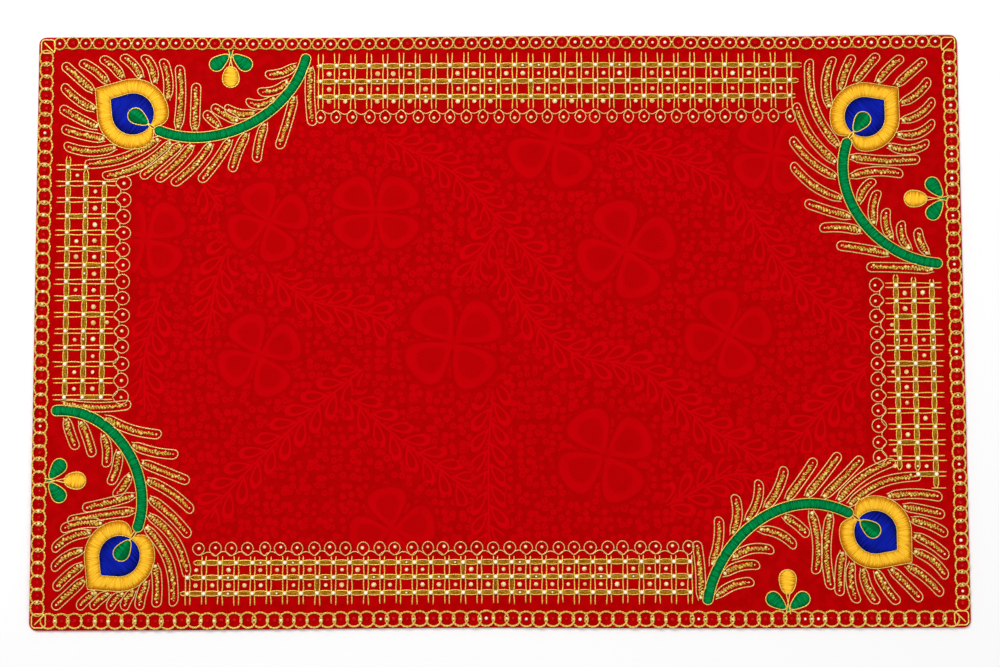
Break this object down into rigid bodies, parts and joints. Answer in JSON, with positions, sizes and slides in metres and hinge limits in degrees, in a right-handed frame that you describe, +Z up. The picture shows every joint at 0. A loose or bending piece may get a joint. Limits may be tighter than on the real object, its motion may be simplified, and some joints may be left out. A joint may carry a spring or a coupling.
{
  "type": "prayer seat mat",
  "caption": "Flat rectangular seat mat of red brocade with a turned hem, gold cord lattices along its sides and a padded satin-stitch peacock feather in each corner.",
  "frame": {"origin": "centre of the underside, on the surface that the mat lies on", "axes": "+X along the long side, +Y across it, away from the sitter, +Z up"},
  "size_m": [0.61, 0.39, 0.0043],
  "materials": {
    "brocade": "satin brocade woven tone on tone with flowers and leaf sprays",
    "green_thread": "glossy satin stitch over padding",
    "yellow_thread": "glossy satin stitch over padding",
    "blue_thread": "glossy satin stitch over padding",
    "gold_cord": "twisted metallic thread, couched",
    "gold_bead": "small faceted bead",
    "pearl": "pearl gloss"
  },
  "bodies": {
    "root": {"mat_cloth": "brocade", "far_left_eye_ring": "yellow_thread", "far_left_eye_heart": "blue_thread", "far_left_eye_leaf": "green_thread", "far_left_stem": "green_thread", "far_left_plume": "gold_cord", "far_left_bud": "yellow_thread", "far_left_bud_leaf_first": "green_thread", "far_left_bud_leaf_second": "green_thread", "far_right_eye_ring": "yellow_thread", "far_right_eye_heart": "blue_thread", "far_right_eye_leaf": "green_thread", "far_right_stem": "green_thread", "far_right_plume": "gold_cord", "far_right_bud": "yellow_thread", "far_right_bud_leaf_first": "green_thread", "far_right_bud_leaf_second": "green_thread", "near_right_eye_ring": "yellow_thread", "near_right_eye_heart": "blue_thread", "near_right_eye_leaf": "green_thread", "near_right_stem": "green_thread", "near_right_plume": "gold_cord", "near_right_bud": "yellow_thread", "near_right_bud_leaf_first": "green_thread", "near_right_bud_leaf_second": "green_thread", "near_left_eye_ring": "yellow_thread", "near_left_eye_heart": "blue_thread", "near_left_eye_leaf": "green_thread", "near_left_stem": "green_thread", "near_left_plume": "gold_cord", "near_left_bud": "yellow_thread", "near_left_bud_leaf_first": "green_thread", "near_left_bud_leaf_second": "green_thread", "far_rail_1": "gold_cord", "far_rail_2": "gold_cord", "far_rail_3": "gold_cord", "near_rail_1": "gold_cord", "near_rail_2": "gold_cord", "near_rail_3": "gold_cord", "left_rail_1": "gold_cord", "left_rail_2": "gold_cord", "left_rail_3": "gold_cord", "right_rail_1": "gold_cord", "right_rail_2": "gold_cord", "right_rail_3": "gold_cord"}
  },
  "joints": []
}
